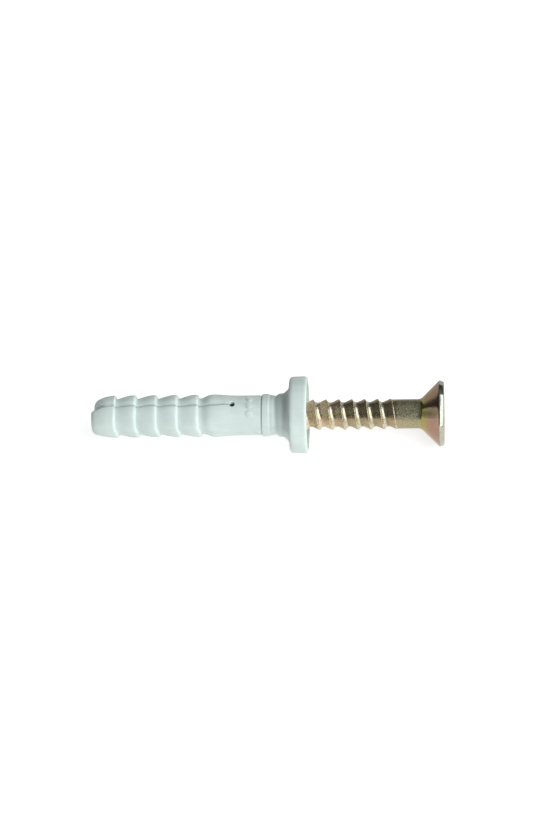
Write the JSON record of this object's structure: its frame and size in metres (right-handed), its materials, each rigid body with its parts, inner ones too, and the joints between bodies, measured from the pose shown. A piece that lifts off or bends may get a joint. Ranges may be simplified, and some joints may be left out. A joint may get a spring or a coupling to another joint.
{
  "type": "wall anchor",
  "caption": "Hammer-in wall anchor: barbed, slit plastic sleeve with a round collar and a partly inserted countersunk drive screw that spreads its two legs.",
  "frame": {"origin": "on the anchor's axis, in the plane of the collar's flat underside, where the wall's face is", "axes": "+X along the anchor from the sleeve's nose to the screw's head, out of the wall; +Z along the slot between the legs; +Y towards the right leg as the person driving the screw sees it"},
  "size_m": [0.0496, 0.0108, 0.011],
  "materials": {
    "sleeve_plastic": "injection-moulded polyamide, pale grey with a mint cast, satin with flow marks and a mould line",
    "screw_steel": "rolled steel, yellow zinc passivated, glossy with a pink and green sheen"
  },
  "bodies": {
    "sleeve": {"sleeve_collar": "sleeve_plastic"},
    "left_leg": {"expansion_leg_left": "sleeve_plastic"},
    "right_leg": {"expansion_leg_right": "sleeve_plastic"},
    "screw": {"drive_screw": "screw_steel"}
  },
  "joints": [
    {"name": "screw_drive", "type": "slide", "parent": "sleeve", "child": "screw", "axis": [-1, 0, 0], "range_m": [0, 0.01915]},
    {"name": "left_leg_spread", "type": "hinge", "parent": "sleeve", "child": "left_leg", "pos_m": [-0.008, -0.00287, 0], "axis": [0, 0, 1], "range_deg": [0, 4.05]},
    {"name": "right_leg_spread", "type": "hinge", "parent": "sleeve", "child": "right_leg", "pos_m": [-0.008, 0.00287, 0], "axis": [0, 0, -1], "range_deg": [0, 4.05]}
  ],
  "couplings": [
    {"joint": "left_leg_spread", "follows": "screw_drive", "rad_per_m": 3.62},
    {"joint": "right_leg_spread", "follows": "screw_drive", "rad_per_m": 3.62}
  ]
}
